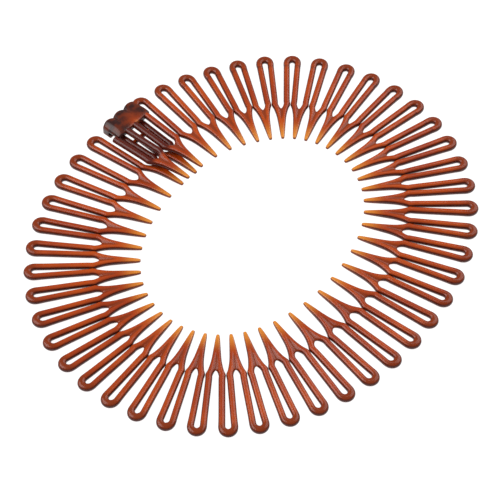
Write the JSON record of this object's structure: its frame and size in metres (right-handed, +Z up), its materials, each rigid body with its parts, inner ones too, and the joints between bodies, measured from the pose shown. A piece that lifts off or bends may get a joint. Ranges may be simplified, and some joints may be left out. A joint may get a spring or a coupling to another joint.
{
  "type": "headband",
  "caption": "Full-circle stretch comb headband of translucent amber plastic: a zigzag ring of slim forks with inward teeth, lying flat, closed by a lobed hook clasp over a catch loop.",
  "frame": {"origin": "centre of the ring's bounding box on the plane it lies on, Z = 0", "axes": "+Z up, away from the surface the ring lies on; X along the oval's long side; the clasp is at +Y"},
  "size_m": [0.1642, 0.1388, 0.0049],
  "materials": {
    "amber_plastic": "glossy translucent amber, glowing orange at the thin tips",
    "dark_amber_plastic": "glossy translucent amber, dark where it is thick"
  },
  "bodies": {
    "band": {"fork_01": "amber_plastic", "fork_02": "amber_plastic", "fork_03": "amber_plastic", "fork_04": "amber_plastic", "fork_05": "amber_plastic", "fork_06": "amber_plastic", "fork_07": "amber_plastic", "fork_08": "amber_plastic", "fork_09": "amber_plastic", "fork_10": "amber_plastic", "fork_11": "amber_plastic", "fork_12": "amber_plastic", "fork_13": "amber_plastic", "fork_14": "amber_plastic", "fork_15": "amber_plastic", "fork_16": "amber_plastic", "fork_17": "amber_plastic", "fork_18": "amber_plastic", "fork_19": "amber_plastic", "fork_20": "amber_plastic", "fork_21": "amber_plastic", "fork_22": "amber_plastic", "fork_23": "amber_plastic", "fork_24": "amber_plastic", "fork_25": "amber_plastic", "fork_26": "amber_plastic", "fork_27": "amber_plastic", "fork_28": "amber_plastic", "fork_29": "amber_plastic", "fork_30": "amber_plastic", "fork_31": "amber_plastic", "fork_32": "amber_plastic", "fork_33": "amber_plastic", "fork_34": "amber_plastic", "fork_35": "amber_plastic", "catch_bow": "amber_plastic", "loop_bar": "amber_plastic", "fork_bar": "amber_plastic"},
    "segment_36": {"fork_36": "amber_plastic"},
    "segment_37": {"fork_37": "amber_plastic"},
    "segment_38": {"fork_38": "amber_plastic"},
    "segment_39": {"fork_39": "amber_plastic"},
    "segment_40": {"fork_40": "amber_plastic"},
    "segment_41": {"fork_41": "amber_plastic"},
    "segment_42": {"fork_42": "amber_plastic"},
    "segment_43": {"fork_43": "amber_plastic"},
    "segment_44": {"fork_44": "amber_plastic"},
    "segment_45": {"fork_45": "amber_plastic"},
    "segment_46": {"fork_46": "amber_plastic"},
    "segment_47": {"fork_47": "amber_plastic"},
    "hook_end": {"fork_48": "amber_plastic", "fork_49": "amber_plastic", "clasp_hook": "dark_amber_plastic"}
  },
  "joints": [
    {"name": "living_hinge_35", "type": "hinge", "parent": "band", "child": "segment_36", "pos_m": [0.07803, -0.01562, 0.0011], "axis": [0, 0, -1], "range_deg": [0, 5], "stiffness_Nm_per_rad": 0.02},
    {"name": "living_hinge_36", "type": "hinge", "parent": "segment_36", "child": "segment_37", "pos_m": [0.08014, -0.00584, 0.0011], "axis": [0, 0, -1], "range_deg": [0, 5], "stiffness_Nm_per_rad": 0.02},
    {"name": "living_hinge_37", "type": "hinge", "parent": "segment_37", "child": "segment_38", "pos_m": [0.08073, 0.00414, 0.0011], "axis": [0, 0, -1], "range_deg": [0, 5], "stiffness_Nm_per_rad": 0.02},
    {"name": "living_hinge_38", "type": "hinge", "parent": "segment_38", "child": "segment_39", "pos_m": [0.07974, 0.01409, 0.0011], "axis": [0, 0, -1], "range_deg": [0, 5], "stiffness_Nm_per_rad": 0.02},
    {"name": "living_hinge_39", "type": "hinge", "parent": "segment_39", "child": "segment_40", "pos_m": [0.07716, 0.02375, 0.0011], "axis": [0, 0, -1], "range_deg": [0, 5], "stiffness_Nm_per_rad": 0.02},
    {"name": "living_hinge_40", "type": "hinge", "parent": "segment_40", "child": "segment_41", "pos_m": [0.07303, 0.03286, 0.0011], "axis": [0, 0, -1], "range_deg": [0, 5], "stiffness_Nm_per_rad": 0.02},
    {"name": "living_hinge_41", "type": "hinge", "parent": "segment_41", "child": "segment_42", "pos_m": [0.06745, 0.04116, 0.0011], "axis": [0, 0, -1], "range_deg": [0, 5], "stiffness_Nm_per_rad": 0.02},
    {"name": "living_hinge_42", "type": "hinge", "parent": "segment_42", "child": "segment_43", "pos_m": [0.06059, 0.04844, 0.0011], "axis": [0, 0, -1], "range_deg": [0, 5], "stiffness_Nm_per_rad": 0.02},
    {"name": "living_hinge_43", "type": "hinge", "parent": "segment_43", "child": "segment_44", "pos_m": [0.05266, 0.05454, 0.0011], "axis": [0, 0, -1], "range_deg": [0, 5], "stiffness_Nm_per_rad": 0.02},
    {"name": "living_hinge_44", "type": "hinge", "parent": "segment_44", "child": "segment_45", "pos_m": [0.04393, 0.05939, 0.00149], "axis": [0, 0, -1], "range_deg": [0, 5], "stiffness_Nm_per_rad": 0.02},
    {"name": "living_hinge_45", "type": "hinge", "parent": "segment_45", "child": "segment_46", "pos_m": [0.03465, 0.06301, 0.00235], "axis": [0, 0, -1], "range_deg": [0, 5], "stiffness_Nm_per_rad": 0.02},
    {"name": "living_hinge_46", "type": "hinge", "parent": "segment_46", "child": "segment_47", "pos_m": [0.025, 0.06548, 0.00321], "axis": [0, 0, -1], "range_deg": [0, 5], "stiffness_Nm_per_rad": 0.02},
    {"name": "living_hinge_47", "type": "hinge", "parent": "segment_47", "child": "hook_end", "pos_m": [0.01511, 0.0669, 0.0036], "axis": [0, 0, -1], "range_deg": [0, 5], "stiffness_Nm_per_rad": 0.02}
  ],
  "couplings": [
    {"joint": "living_hinge_36", "follows": "living_hinge_35", "ratio": 1},
    {"joint": "living_hinge_37", "follows": "living_hinge_35", "ratio": 1},
    {"joint": "living_hinge_38", "follows": "living_hinge_35", "ratio": 1},
    {"joint": "living_hinge_39", "follows": "living_hinge_35", "ratio": 1},
    {"joint": "living_hinge_40", "follows": "living_hinge_35", "ratio": 1},
    {"joint": "living_hinge_41", "follows": "living_hinge_35", "ratio": 1},
    {"joint": "living_hinge_42", "follows": "living_hinge_35", "ratio": 1},
    {"joint": "living_hinge_43", "follows": "living_hinge_35", "ratio": 1},
    {"joint": "living_hinge_44", "follows": "living_hinge_35", "ratio": 1},
    {"joint": "living_hinge_45", "follows": "living_hinge_35", "ratio": 1},
    {"joint": "living_hinge_46", "follows": "living_hinge_35", "ratio": 1},
    {"joint": "living_hinge_47", "follows": "living_hinge_35", "ratio": 1}
  ]
}
